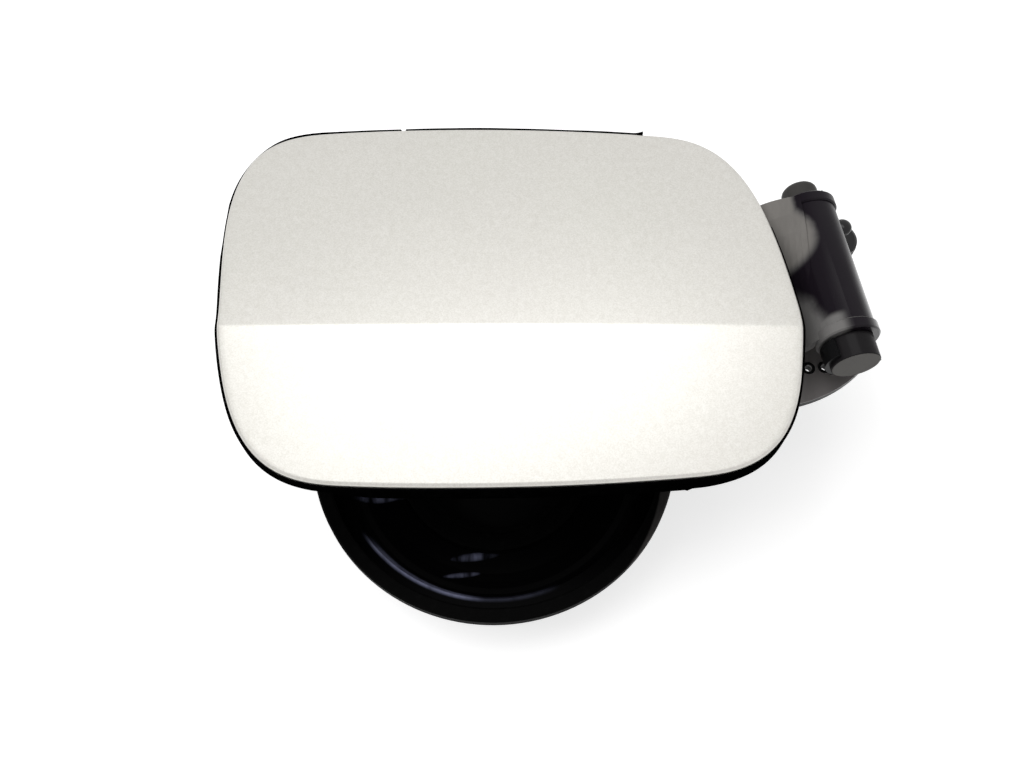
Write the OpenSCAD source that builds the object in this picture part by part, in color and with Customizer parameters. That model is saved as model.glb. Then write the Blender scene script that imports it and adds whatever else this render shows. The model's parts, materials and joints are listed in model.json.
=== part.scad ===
// Fuel filler flap: a painted door on a black carrier with a swan-neck hinge arm, on a round filler pot.
// Millimetres. The origin is the middle of the filler-neck bore on the base, and +Z points out of the pot.

/* [Painted door] */
// Width of the door at its widest
door_w = 191; // [176:1:206]
// Height of the door above its crease
upper_h = 83.2; // [74:0.2:90]
// Height of the door below its crease
lower_h = 51.7; // [46:0.1:58]
// Rise of the bowed lower edge at the door's sides
bow_low = 5.6; // [0:0.1:7]
// Fall of the bowed upper edge at the door's sides
bow_top = 1.6; // [0:0.1:3]
// Distance of the widest point of the outline below the crease
waist_drop = 0.4; // [0.2:0.1:5]
// How far the right side leans in towards the top
right_lean_up = 13.5; // [10:0.1:18]
// How far the left side leans in towards the top, which is slightly outward
left_lean_up = -4; // [-5:0.1:6]
// How far the right side leans in towards the bottom
right_lean_down = 7.7; // [5:0.1:14]
// How far the left side leans in towards the bottom
left_lean_down = 11.6; // [8:0.1:17]
// Radius of the upper right corner
corner_upper_right = 42; // [36:0.5:50]
// Radius of the upper left corner
corner_upper_left = 32.5; // [28:0.5:44]
// Radius of the lower right corner
corner_lower_right = 30; // [26:0.5:42]
// Radius of the lower left corner
corner_lower_left = 31; // [26:0.5:42]
// Radius that rounds the widest point of the outline
waist_round = 28; // [15:1:40]
// Slope of the upper half in degrees
upper_slope = 2; // [1:0.1:4]
// Slope of the lower half in degrees
lower_slope = 11; // [7:0.5:14]
// Width of the band over which the crease turns
crease_band = 7; // [4:0.5:10]
// Width of the sharp part of the crease, at its top
crease_sharp = 1.4; // [0.8:0.1:2.5]
// Slope just below the sharp part of the crease, in degrees
crease_slope = 8; // [5:0.5:10]
// Drop of the surface from the middle to the left and right ends
crown_sides = 1.2; // [0:0.1:2.5]
// Further drop of the surface at the top edge
crown_top = 0.8; // [0:0.1:2]
// Sheet thickness of the door skin
skin_t = 0.8; // [0.6:0.1:1.2]
// Height of the skin's turned-down edge
skin_edge_h = 3.2; // [2.6:0.1:4.5]
// Width over which the skin's edge is rounded
edge_roll = 2.4; // [1.8:0.1:3.5]

/* [Door carrier] */
// Clearance between pieces that are glued or seated on each other
seat_gap = 0.3; // [0.2:0.05:0.5]
// Thickness of the carrier's panel
panel_t = 2; // [1.6:0.1:3]
// Wall of the carrier's rim
rim_t = 2; // [1.6:0.1:3]
// Height of the carrier's rim below the skin's edge
rim_h = 4.5; // [3.5:0.1:6]
// How far the rim is set in from the skin's edge
rim_inset = 0.5; // [0.3:0.1:1]
// Thickness of the carrier's ribs
rib_t = 1.6; // [1.2:0.1:2.4]
// Height of the carrier's ribs below the panel
rib_h = 3; // [2:0.1:4.5]
// How far the rubber lip stands out past the skin
lip_out = 0.9; // [0.7:0.1:1.4]
// How far the rubber lip reaches up beside the skin's edge
lip_up = 0.9; // [0.4:0.1:0.9]
// Height of the rubber lip's part on the carrier's rim
lip_h = 2.4; // [1.6:0.1:3]

/* [Hinge] */
// Distance of the hinge axis from the door's right side
hinge_out = 18.6; // [17:0.1:22]
// Height above the crease of the point on the door's side that the barrel's middle faces
hinge_up = 24.8; // [18:0.1:32]
// Lean of the hinge axis towards the door's top, in degrees
hinge_lean = 8.4; // [6:0.1:11]
// Depth of the hinge axis below the crease
axis_drop = 14; // [13:0.2:16]
// Length of the barrel
barrel_len = 55.5; // [52:0.5:58]
// Outer radius of the barrel
barrel_r = 10; // [9:0.1:10.6]
// Outer radius of the barrel's end collars
collar_r = 10.8; // [10.2:0.1:12]
// Width of each end collar
collar_w = 4; // [2.5:0.5:6]
// Radius of the hinge pin's shank
pin_r = 6.4; // [5.5:0.05:7]
// Radial clearance of the pin in its holes
pin_clear = 0.05; // [0.02:0.01:0.09]
// Radius of the hinge pin's head
pin_head_r = 8.25; // [7.4:0.05:9]
// Length of the hinge pin's head
pin_head_len = 8.6; // [8:0.2:12]
// Length of the pin's rounded end past the barrel
pin_end_len = 8.4; // [6:0.1:10]
// Clearance along the axis at each end of the barrel
end_play = 0.3; // [0.2:0.05:0.5]
// Thickness of the swan-neck arm
arm_t = 3; // [2.4:0.1:3.6]
// Width of the arm along the hinge axis
arm_w = 53; // [48:0.5:53]
// Depth of the swan neck below the hinge axis at its front
neck_drop = 6.6; // [6:0.1:9]
// Height of the swan neck above the hinge axis at its rear end, where it runs level to the door
neck_rise = 5.4; // [4:0.1:5.6]
// Radius that the cam reaches under the barrel
cam_r = 12.4; // [11.6:0.1:12.6]
// Width of the cam
cam_w = 16; // [10:1:20]
// Thickness of the leaf spring
spring_t = 0.8; // [0.5:0.1:1]
// Width of the leaf spring
spring_w = 14; // [8:1:18]

/* [Hinge bracket] */
// Depth of the hinge plate's face below the axis
plate_drop = 18; // [17.4:0.1:21]
// Thickness of the hinge plate and its ribs
plate_t = 3; // [2.4:0.1:4]
// Radius of the hinge plate's curved edge
plate_r = 52; // [48:1:54]
// Width along the axis of the saddle under the pin's head
saddle_front_w = 6.4; // [4:0.1:7]
// Width along the axis of the saddle under the pin's rounded end
saddle_rear_w = 3.6; // [2.6:0.1:4.4]
// Wall of each saddle round the pin
saddle_wall = 1.6; // [1.2:0.1:2.2]
// Radius of the two small eyelet holes in the plate
eyelet_r = 1.3; // [0.8:0.1:1.8]

/* [Filler pot] */
// Outer radius of the pot's wall at its mouth
pot_r = 64.6; // [61:0.2:66]
// Wall thickness of the pot
pot_wall = 2; // [1.6:0.1:3]
// Height of the pot's wall
pot_h = 25; // [23:0.5:32]
// Height of the pot's floor above the base
floor_h = 9; // [8:0.5:12]
// Thickness of the pot's floor and ledges
floor_t = 2.5; // [2:0.1:3.5]
// Radius of the ledge inside the mouth
ledge_r = 56.5; // [54:0.5:58]
// Radius of the shallow step in the floor
step_r = 37.6; // [36.8:0.1:40]
// Height of the shallow step
step_h = 1.5; // [1:0.1:2.5]
// Radius of the filler-neck bore in the rubber collar
neck_bore_r = 27; // [24:0.5:29]
// Radius of the sleeve that holds the rubber collar
sleeve_r = 33.5; // [32:0.5:34.5]
// Height of the crease above the base
crease_z = 82; // [80:0.5:92]
// Sideways place of the door's middle
door_x = 6; // [0:0.1:10]
// Place of the crease towards the back
door_y = 18.5; // [15:0.1:22]

/* [Brackets and fasteners] */
// Distance of the side brackets' upper face below the pot's mouth
flange_down = 4.2; // [3.9:0.1:7]
// Radius of the expansion rivet's shank
rivet_r = 3.5; // [3:0.1:3.7]
// Radius of the rivet's flange
rivet_flange_r = 7.6; // [6.5:0.1:8]
// Radius of the rivet's centre pin
rivet_pin_r = 2.2; // [1.6:0.1:2.4]
// Travel of the rivet's centre pin
rivet_travel = 6; // [3:0.5:8]
// Radius of the lock pin that holds the shut flap
lock_pin_r = 4; // [3:0.1:4.4]
// Clearance of the lock pin in its rubber guide
guide_clear = 0.4; // [0.2:0.05:0.6]
// Clearance of the lock pin in the striker
striker_clear = 0.2; // [0.1:0.05:0.4]
// Height of the lock pin's axis
lock_z = 52; // [48:0.5:54]
// Place of the lock pin's axis towards the back
lock_y = 36; // [34:0.5:38]
// Place of the lock tower's outer face, measured from the pot's middle
tower_x = 72; // [70:0.5:76]
// Radius of the drain nipple
drain_r = 4; // [3:0.1:5]
// Length of the drain nipple past its flange
drain_len = 16; // [12:0.5:20]
// Radius of the clip nuts' screw holes
screw_r = 2.6; // [2:0.1:3.2]
// Radius of the rubber buffers
buffer_r = 6.5; // [5:0.1:8]
// Height of the rubber buffers
buffer_h = 9; // [7:0.5:11]

/* [Hidden] */
$fn = 64;
eps = 0.01;

// Outline and surface of the door, in the door's own frame: the crease is y = 0 and its middle is the origin.
half_w = door_w / 2;
top_y = upper_h;
bottom_y = -lower_h;
corner_steps = 9;
columns = 12;
above_crease = 6;
corner_top_max = max(corner_upper_right, corner_upper_left);
corner_bottom_max = max(corner_lower_right, corner_lower_left);
rise_up = tan(upper_slope);
rise_turn = tan(crease_slope);
rise_down = tan(lower_slope);
sharp_z = (rise_up - rise_turn) * crease_sharp / 2;
soft_width = crease_band - crease_sharp;
soft_z = sharp_z - (rise_turn + rise_down) * soft_width / 2;

function crease_profile(y) =
    y > 0 ? -rise_up * y - crown_top * pow(y / upper_h, 2)
    : y > -crease_sharp ? -rise_up * y - (rise_up + rise_turn) * y * y / (2 * crease_sharp)
    : y > -crease_band ? sharp_z + rise_turn * (y + crease_sharp)
        - (rise_down - rise_turn) * pow(y + crease_sharp, 2) / (2 * soft_width)
    : soft_z + rise_down * (y + crease_band);
function skin_z(x, y) = crease_profile(y) - crown_sides * pow(x / half_w, 2);

function unit(v) = v / norm(v);
// Corners of one side of the outline, from the bottom up; s is 1 on the right and -1 on the left.
function side_points(s) = let (up = s > 0 ? right_lean_up : left_lean_up,
        down = s > 0 ? right_lean_down : left_lean_down)
    [[s * (half_w - down), bottom_y], [s * half_w, -waist_drop], [s * (half_w - up), top_y]];
function out_normal(a, b, s) = let (d = unit(b - a)) [s * d[1], -s * d[0]];
// Point on the line through a with normal n, set in by d, at height y.
function on_line(a, n, d, y) = [a[0] + (-d - n[1] * (y - a[1])) / n[0], y];
// x of the outline on side s at height y, set in by d.
function side_x(y, s, d) = let (
        p = side_points(s),
        n_low = out_normal(p[0], p[1], s),
        n_up = out_normal(p[1], p[2], s),
        r_low = s > 0 ? corner_lower_right : corner_lower_left,
        r_up = s > 0 ? corner_upper_right : corner_upper_left,
        c_low = on_line(p[1], n_low, r_low, bottom_y + r_low),
        c_up = on_line(p[1], n_up, r_up, top_y - r_up),
        c_mid = p[1] - waist_round / (1 + n_low * n_up) * (n_low + n_up))
    y > c_up[1] + (r_up - d) * n_up[1] ? arc_x(c_up, r_up - d, y, s)
    : y > c_mid[1] + (waist_round - d) * n_up[1] ? on_line(p[1], n_up, d, y)[0]
    : y > c_mid[1] + (waist_round - d) * n_low[1] ? arc_x(c_mid, waist_round - d, y, s)
    : y > c_low[1] + (r_low - d) * n_low[1] ? on_line(p[1], n_low, d, y)[0]
    : arc_x(c_low, r_low - d, y, s);
function arc_x(c, r, y, s) = c[0] + s * sqrt(max(0, r * r - pow(y - c[1], 2)));

// Heights of the lattice's rows, set in by d: close together in the corners and the crease.
function row_heights(d) = let (
        low = bottom_y + corner_bottom_max,
        high = top_y - corner_top_max,
        creases = [-crease_band, -crease_sharp - soft_width / 2, -crease_sharp, -crease_sharp / 2])
    concat([for (i = [corner_steps:-1:0]) low - (corner_bottom_max - d) * sin(90 * i / corner_steps)],
        [for (y = creases) if (y > low + 0.5) y],
        [0, above_crease / 2, above_crease],
        [for (i = [1:2]) above_crease + (high - above_crease) * i / 3],
        [for (i = [0:corner_steps]) high + (corner_top_max - d) * sin(90 * i / corner_steps)]);
// Height of a row at x, with the bow of the lower and the upper edge.
bow_low_x = -17;
bow_top_x = -26;
function bowed(x, y) =
    y < 0 ? y + bow_low * pow((x - bow_low_x) / half_w, 2) * pow(y / lower_h, 2)
    : y - bow_top * pow((x - bow_top_x) / half_w, 2) * pow(y / upper_h, 2);
function lattice(d, dz) = [for (y = row_heights(d)) let (x0 = side_x(y, -1, d), x1 = side_x(y, 1, d))
    [for (j = [0:columns]) let (x = x0 + (x1 - x0) * j / columns, v = bowed(x, y)) [x, v, skin_z(x, v) + dz]]];
function last(v) = v[len(v) - 1];
// The lattice's edge as one loop, anticlockwise from above.
function edge_loop(g) = let (n = len(g))
    concat(g[0], [for (i = [1:n - 1]) last(g[i])],
        [for (j = [columns - 1:-1:0]) g[n - 1][j]], [for (i = [n - 2:-1:1]) g[i][0]]);
function flat_list(g) = [for (row = g) for (p = row) p];
function quad(a, b, c, d) = [[a, b, c], [a, c, d]];

// Closed sheet that follows the door's surface. Each pair in profile is how far the edge is set in
// and its height over the surface, from the upper face's edge round to the lower face's edge.
module surface_sheet(profile) {
    upper = lattice(profile[0][0], profile[0][1]);
    lower = lattice(last(profile)[0], last(profile)[1]);
    loops = [for (i = [1:len(profile) - 2]) edge_loop(lattice(profile[i][0], profile[i][1]))];
    rows = len(upper);
    wide = columns + 1;
    cells = rows * wide;
    around = len(loops[0]);
    index_grid = [for (i = [0:rows - 1]) [for (j = [0:columns]) i * wide + j]];
    first_loop = edge_loop(index_grid);
    rings = concat([first_loop],
        [for (k = [0:len(loops) - 1]) [for (i = [0:around - 1]) 2 * cells + k * around + i]],
        [[for (i = first_loop) i + cells]]);
    points = concat(flat_list(upper), flat_list(lower), flat_list(loops));
    cell = [for (i = [0:rows - 2]) for (j = [0:columns - 1]) [i * wide + j, (i + 1) * wide + j]];
    faces = concat(
        [for (c = cell) each quad(c[0], c[1], c[1] + 1, c[0] + 1)],
        [for (c = cell) each quad(c[0] + cells, c[0] + 1 + cells, c[1] + 1 + cells, c[1] + cells)],
        [for (k = [0:len(rings) - 2]) for (i = [0:around - 1]) let (n = (i + 1) % around)
            each quad(rings[k][i], rings[k][n], rings[k + 1][n], rings[k + 1][i])]);
    polyhedron(points, faces, convexity = 6);
}

// The edge loop without the upper right corner: from the top of that corner round to its lower end.
function open_loop(g) = let (
        loop = edge_loop(g),
        around = len(loop),
        start = columns + len(g) - 1)
    [for (i = [0:around - corner_steps]) loop[(start + i) % around]];

// Strip that follows the open loop, with the section that profile gives. Both ends are closed by
// triangles round the profile's inner corner.
module edge_strip(profile, inner_corner) {
    loops = [for (p = profile) open_loop(lattice(p[0], p[1]))];
    long = len(loops[0]);
    count = len(profile);
    sides = [for (k = [0:count - 1]) for (i = [0:long - 2])
        let (m = (k + 1) % count)
        each quad(k * long + i, k * long + i + 1, m * long + i + 1, m * long + i)];
    ends = [for (k = [1:count - 2])
        let (hub = inner_corner * long, a = (inner_corner + k) % count * long, b = (inner_corner + k + 1) % count * long)
        each [[hub, a, b], [hub + long - 1, b + long - 1, a + long - 1]]];
    polyhedron(flat_list(loops), concat(sides, ends), convexity = 6);
}

module at_door() {
    translate([door_x, door_y, crease_z])
        children();
}

// Frame of the hinge: y runs along the axis, x points away from the door.
edge_lean = atan(right_lean_up / (upper_h + waist_drop));
edge_x_at_hinge = half_w - right_lean_up * (hinge_up + waist_drop) / (upper_h + waist_drop);
hinge_x = door_x + edge_x_at_hinge + hinge_out * cos(edge_lean);
hinge_y = door_y + hinge_up + hinge_out * sin(edge_lean);
hinge_z = crease_z - axis_drop;
module at_hinge() {
    translate([hinge_x, hinge_y, hinge_z])
        rotate([0, 0, hinge_lean])
            children();
}
// Door-frame coordinates of a point in the hinge frame, and the door's surface there in hinge heights.
function to_door(x, y) = [
    hinge_x - door_x + x * cos(hinge_lean) - y * sin(hinge_lean),
    hinge_y - door_y + x * sin(hinge_lean) + y * cos(hinge_lean)];
function surface_at_hinge(x, y) = axis_drop + skin_z(to_door(x, y)[0], to_door(x, y)[1]);

// Round bar along y, and a flat shape in x and z given a thickness along y.
module rod(y0, y1, r) {
    translate([0, y0, 0])
        rotate([-90, 0, 0])
            cylinder(h = y1 - y0, r = r);
}
module across(y0, y1) {
    translate([0, y1, 0])
        rotate([90, 0, 0])
            linear_extrude(y1 - y0)
                children();
}
module tube(r_out, r_in, z0, z1) {
    translate([0, 0, z0])
        difference() {
            cylinder(h = z1 - z0, r = r_out);
            translate([0, 0, -1])
                cylinder(h = z1 - z0 + 2, r = r_in);
        }
}

// Smooth curve through four control points, and a strip of thickness t along a path.
function curve(a, b, c, d, n) = [for (i = [0:n]) let (t = i / n, u = 1 - t)
    u * u * u * a + 3 * u * u * t * b + 3 * u * t * t * c + t * t * t * d];
function path_normal(p, i) = let (d = unit(p[min(i + 1, len(p) - 1)] - p[max(i - 1, 0)])) [-d[1], d[0]];
function strip(p, t) = concat(
    [for (i = [0:len(p) - 1]) p[i] + path_normal(p, i) * t / 2],
    [for (i = [len(p) - 1:-1:0]) p[i] - path_normal(p, i) * t / 2]);

// Filler pot
ellipse_r = ledge_r - 45;
mouth_in_r = pot_r - pot_wall;
ledge_h = pot_h - 5;
step_z = floor_h + step_h;
function bowl_arc(grow, last_angle) = [for (i = [0:6]) let (t = last_angle * i / 6)
    [45 + (ellipse_r + grow) * sin(t), ledge_h - (ledge_h - step_z + grow) * cos(t)]];
inner_profile = concat([[sleeve_r, floor_h], [step_r - 0.6, floor_h], [step_r, step_z]],
    bowl_arc(0, 90), [[mouth_in_r - 0.8, ledge_h + 0.4], [mouth_in_r, ledge_h + 1], [mouth_in_r, pot_h]]);
outer_arc = bowl_arc(floor_t, 78);
outer_profile = concat([[sleeve_r, floor_h - floor_t], [step_r - 0.6, floor_h - floor_t],
    [step_r + 0.6, step_z - floor_t]], outer_arc,
    [[pot_r - 1, ledge_h - 1.8], [pot_r, ledge_h - 0.8], [pot_r, pot_h]]);
foot_r = 48;
module pot_bowl() {
    rotate_extrude()
        polygon(concat(inner_profile, [for (i = [len(outer_profile) - 1:-1:0]) outer_profile[i]]));
    tube(sleeve_r + floor_t, sleeve_r, 0, floor_h);
    tube(foot_r, foot_r - floor_t, 0, floor_h - 0.5);
    for (a = [15:45:330])
        rotate([0, 0, a])
            translate([sleeve_r + floor_t - 1, -1, 1.5])
                cube([foot_r - sleeve_r - 2 * floor_t + 2, 2, floor_h - 2.5]);
}
// The space up to the middle of the bowl's wall, where every bracket ends.
middle_profile = [for (i = [0:len(inner_profile) - 1]) (inner_profile[i] + outer_profile[i]) / 2];
module pot_inside() {
    rotate_extrude()
        polygon(concat([[0, middle_profile[0][1]]], middle_profile, [[pot_r - pot_wall / 2, 60], [0, 60]]));
    translate([0, 0, -1])
        cylinder(h = floor_h, r = sleeve_r + floor_t / 2);
}
flange_z = pot_h - flange_down;
// Keeps the brackets outside the pot's wall and clear of the rubber on its mouth.
module bracket_cut() {
    pot_inside();
    translate([0, 0, flange_z])
        cylinder(h = 100, r = pot_r + seat_gap + seal_t + 0.7);
}

// Hinge bracket, in the hinge frame
plate_z = -plate_drop;
flange_drop = hinge_z - flange_z;
plate_left = -30;
plate_right = 17.5;
plate_centre = [-21, 11.6];
rivet_at = [16, 23.4];
lug_r = 7.8;
bracket_low = -29;
bracket_high = 37;
gusset_low = bracket_low + 7;
ramp_top = -29;
ramp_foot = -46;
flange_in = -hinge_x + 34;
module plate_shape() {
    intersection() {
        translate(plate_centre)
            circle(plate_r);
        translate([plate_left, -50])
            square([plate_right - plate_left, 50 + bracket_high]);
    }
    translate(rivet_at)
        circle(lug_r);
    translate([plate_right - 6, rivet_at[1] - lug_r])
        square([rivet_at[0] - plate_right + 6, 2 * lug_r]);
}
module ramp_shape() {
    t = plate_t;
    polygon([[plate_left + 2, plate_z], [ramp_top, plate_z], [ramp_foot - 2, -flange_drop],
        [flange_in, -flange_drop], [flange_in, -flange_drop - t], [ramp_foot, -flange_drop - t],
        [ramp_top + 2, plate_z - t], [plate_left + 4, plate_z - t]]);
}
gusset_t = 2.4;
gusset_count = 4;
gusset_h = 9;
gusset_end = plate_right - 6;
module gusset_shape() {
    drop = -flange_drop - plate_t + eps;
    under = plate_z - plate_t + eps;
    polygon([[gusset_end, under], [ramp_top + 1, under], [ramp_foot, drop], [flange_in + 2, drop],
        [flange_in + 2, drop - gusset_h], [ramp_foot + 2, drop - gusset_h],
        [ramp_top + 12, under - gusset_h], [gusset_end, under - gusset_h / 2]]);
}
// A saddle holds the pin over more than half its round and is open towards the door. The angles are
// those of its two ends, left and right of the top.
saddle_y = barrel_len / 2 + end_play + 0.6;
saddle_stem_t = 2.4;
module saddle(side, wide, r, left, right) {
    outer = r + pin_clear + saddle_wall;
    mirror([0, side > 0 ? 0 : 1, 0])
        translate([0, saddle_y, 0])
            difference() {
                union() {
                    rod(0, wide, outer);
                    across(0, saddle_stem_t)
                        polygon([[-outer * 0.85, -4], [outer - 1, -4], [outer - 1, plate_z - eps],
                            [-outer * 0.2, plate_z - eps]]);
                }
                rod(-1, wide + 1, r + pin_clear);
                across(-1, wide + 1)
                    polygon([[0, 0], [-30 * sin(left), 30 * cos(left)], [-30, 60], [30, 60],
                        [30 * sin(right), 30 * cos(right)]]);
            }
}
hook_x = 14.8;
module spring_hook(s) {
    mirror([s > 0 ? 0 : 1, 0, 0])
        across(-4, 4)
            polygon([[hook_x, plate_z - eps], [hook_x + 2.2, plate_z - eps], [hook_x + 2.2, plate_z + 3.4],
                [hook_x - 2, plate_z + 3.4], [hook_x - 2, foot_top + seat_gap],
                [hook_x, foot_top + seat_gap]]);
}
module hinge_bracket() {
    translate([0, 0, plate_z - plate_t])
        linear_extrude(plate_t)
            plate_shape();
    across(bracket_low, bracket_high)
        ramp_shape();
    for (i = [0:gusset_count - 1])
        let (y = gusset_low + (bracket_high - gusset_t - gusset_low) * i / (gusset_count - 1))
            across(y, y + gusset_t)
                gusset_shape();
    saddle(-1, saddle_front_w, pin_head_r, 50, 100);
    saddle(1, saddle_rear_w, pin_r, 110, 66);
    for (s = [-1, 1])
        spring_hook(s);
    for (p = eyelets)
        translate([p[0], p[1], plate_z - eps])
            cylinder(h = 0.6, r = eyelet_r + 1);
    translate([stop_at[0] - stop_size / 2 - 2, stop_at[1] - stop_size / 2 - 2, plate_z - eps])
        cube([stop_size + 4, stop_size + 4, 2]);
}
eyelets = [[-9, -27.4], [-3.3, -27.8]];
stop_at = [-hinge_out + 1, -17];
stop_size = 8;
module hinge_bracket_holes() {
    for (p = eyelets)
        translate([p[0], p[1], plate_z - plate_t - 1])
            cylinder(h = plate_t + 4, r = eyelet_r);
    translate([rivet_at[0], rivet_at[1], plate_z - plate_t - 1])
        cylinder(h = plate_t + 2, r = rivet_r + 0.5 + rivet_clear);
    translate([stop_at[0] - stop_size / 2 - seat_gap, stop_at[1] - stop_size / 2 - seat_gap, plate_z])
        cube([stop_size + 2 * seat_gap, stop_size + 2 * seat_gap, 4]);
}
rivet_clear = 0.08;

// Lock tower on the left
tower_t = 3;
tower_half = 16;
tower_top = lock_z + 10;
lock_r = lock_pin_r + guide_clear;
grommet_wall = 3;
grommet_r = lock_r + grommet_wall;
nut_inset = 7;
clip_t = 0.8;
clip_len = 14;
clip_lead = 1.5;
clip_back = nut_inset + seat_gap;
clip_tip = clip_back + clip_t - clip_len;
side_nut_x = tower_x + 8;
module lock_bracket() {
    translate([-side_nut_x - nut_inset, lock_y - tower_half - 2, flange_z - plate_t])
        cube([side_nut_x + nut_inset - 28, 2 * tower_half + 4, plate_t]);
    translate([-tower_x, lock_y - tower_half, flange_z - plate_t])
        cube([tower_t, 2 * tower_half, tower_top - flange_z + plate_t - 8]);
    translate([-tower_x, lock_y, lock_z])
        rotate([0, 90, 0])
            cylinder(h = tower_t, r = 13);
    for (s = [-1, 1])
        translate([0, lock_y + s * (tower_half - 1), 0])
            across(-1, 1)
                polygon([[-tower_x + 1, flange_z - 1], [-tower_x + 18, flange_z - 1],
                    [-tower_x + tower_t, lock_z - 2], [-tower_x + 1, lock_z - 2]]);
}
module lock_bracket_holes() {
    translate([-tower_x - 5, lock_y, lock_z])
        rotate([0, 90, 0])
            cylinder(h = tower_t + 10, r = grommet_r + pin_clear);
    translate([-side_nut_x, lock_y, flange_z - plate_t - 1])
        cylinder(h = plate_t + 2, r = screw_r + 0.9);
}

// Rear leg with the second clip nut
leg_half = 12;
leg_out = 22;
leg_in = 16;
leg_rib_t = 2.4;
leg_end = pot_r + leg_out;
leg_nut_y = leg_end - nut_inset;
leg_wall_y = leg_nut_y + clip_tip - 2 * seat_gap;
module rear_leg() {
    rib_h = flange_z - 1;
    translate([-leg_half, pot_r - leg_in, flange_z - plate_t])
        cube([2 * leg_half, leg_in + leg_out, plate_t]);
    for (x = [-leg_half, leg_half - leg_rib_t])
        translate([x, pot_r - leg_in, 0])
            cube([leg_rib_t, leg_wall_y - pot_r + leg_in, rib_h]);
    translate([-leg_half, leg_wall_y - leg_rib_t, 0])
        cube([2 * leg_half, leg_rib_t, rib_h]);
}
module rear_leg_holes() {
    translate([0, leg_nut_y, flange_z - plate_t - 1])
        cylinder(h = plate_t + 2, r = screw_r + 0.9);
}

// Drain boss in the wall at the back left
drain_turn = 110;
drain_z = 14;
drain_seat = pot_r + 2;
module at_drain() {
    rotate([0, 0, drain_turn])
        translate([0, 0, drain_z])
            rotate([0, 90, 0])
                children();
}

module filler_pot() {
    color([0.045, 0.045, 0.05])
        difference() {
            union() {
                pot_bowl();
                difference() {
                    union() {
                        at_hinge()
                            hinge_bracket();
                        lock_bracket();
                        rear_leg();
                        at_drain()
                            translate([0, 0, ledge_r - 4])
                                cylinder(h = drain_seat - ledge_r + 4, r = drain_r + 4);
                    }
                    bracket_cut();
                }
            }
            at_hinge()
                hinge_bracket_holes();
            lock_bracket_holes();
            rear_leg_holes();
            at_drain()
                translate([0, 0, 40])
                    cylinder(h = 40, r = drain_r + pin_clear);
        }
}

// Rubber channel on the pot's mouth
seal_t = 1.2;
module rim_seal() {
    g = seat_gap;
    in_r = mouth_in_r - g;
    out_r = pot_r + g;
    top = pot_h + g;
    color([0.10, 0.10, 0.105])
        rotate_extrude()
            polygon([[in_r, pot_h - 3.4], [in_r, top], [out_r, top], [out_r, pot_h - 3], [out_r + 0.8, pot_h - 3.2],
                [out_r + seal_t, pot_h - 2.6], [out_r + seal_t, top + 1], [out_r + seal_t - 0.6, top + 1.7],
                [in_r - seal_t + 0.7, top + 1.7], [in_r - seal_t, top + 1], [in_r - seal_t, pot_h - 3],
                [in_r - seal_t + 0.6, pot_h - 3.6]]);
}

// Rubber collar for the filler neck
collar_top = floor_h + 3;
module neck_seal() {
    outer = sleeve_r - seat_gap;
    lip = neck_bore_r + 2.5;
    color([0.05, 0.05, 0.052])
        rotate_extrude()
            polygon([[neck_bore_r, 0], [outer - 1, 0], [outer, 1], [outer, floor_h + seat_gap],
                [step_r - 1.4, floor_h + seat_gap], [step_r - 1.4, floor_h + 1.1], [step_r - 2.4, floor_h + 1.9],
                [lip + 1, floor_h + 1.9], [lip + 0.5, collar_top], [lip, collar_top],
                [neck_bore_r, floor_h + 0.6]]);
}

// Rubber nipple for the drain hose
module drain_nipple() {
    seat = drain_seat + seat_gap;
    color([0.05, 0.05, 0.052])
        at_drain()
            difference() {
                union() {
                    translate([0, 0, ledge_r - 1])
                        cylinder(h = seat - ledge_r + 2, r = drain_r);
                    translate([0, 0, seat])
                        cylinder(h = 2, r = drain_r + 2.8);
                    translate([0, 0, seat + 1])
                        cylinder(h = drain_len + 1, r = drain_r);
                }
                translate([0, 0, ledge_r - 2])
                    cylinder(h = drain_len + 30, r = drain_r - 1.5);
            }
}

// Moulded hinge pin: a wide head, a shank and a rounded end
head_y = -barrel_len / 2 - end_play;
pin_tip_y = barrel_len / 2 + pin_end_len;
module hinge_pin() {
    round = 2.4;
    color([0.07, 0.07, 0.075])
        at_hinge()
            translate([0, head_y - pin_head_len, 0])
                rotate([-90, 0, 0])
                    rotate_extrude()
                        polygon(concat([[0, 0], [pin_head_r - 0.4, 0], [pin_head_r, 0.4],
                            [pin_head_r, pin_head_len], [pin_r, pin_head_len]],
                            [for (i = [0:5]) let (t = 18 * i) [pin_r - round + round * cos(t),
                                pin_tip_y - head_y + pin_head_len - round + round * sin(t)]],
                            [[0, pin_tip_y - head_y + pin_head_len]]));
}

// Arched leaf spring under the barrel
foot_top = plate_z + seat_gap + spring_t;
crest = -cam_r - seat_gap - spring_t / 2;
foot_z = plate_z + seat_gap + spring_t / 2;
spring_half = hook_x - 0.4;
spring_steps = 6;
spring_rise = curve([-11, foot_z], [-8, foot_z], [-6, crest], [0, crest], spring_steps);
spring_path = concat([[-spring_half, foot_z]], spring_rise,
    [for (i = [spring_steps - 1:-1:0]) [-spring_rise[i][0], spring_rise[i][1]]], [[spring_half, foot_z]]);
module leaf_spring() {
    color([0.45, 0.46, 0.47])
        at_hinge()
            across(-spring_w / 2, spring_w / 2)
                polygon(strip(spring_path, spring_t));
}

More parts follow.
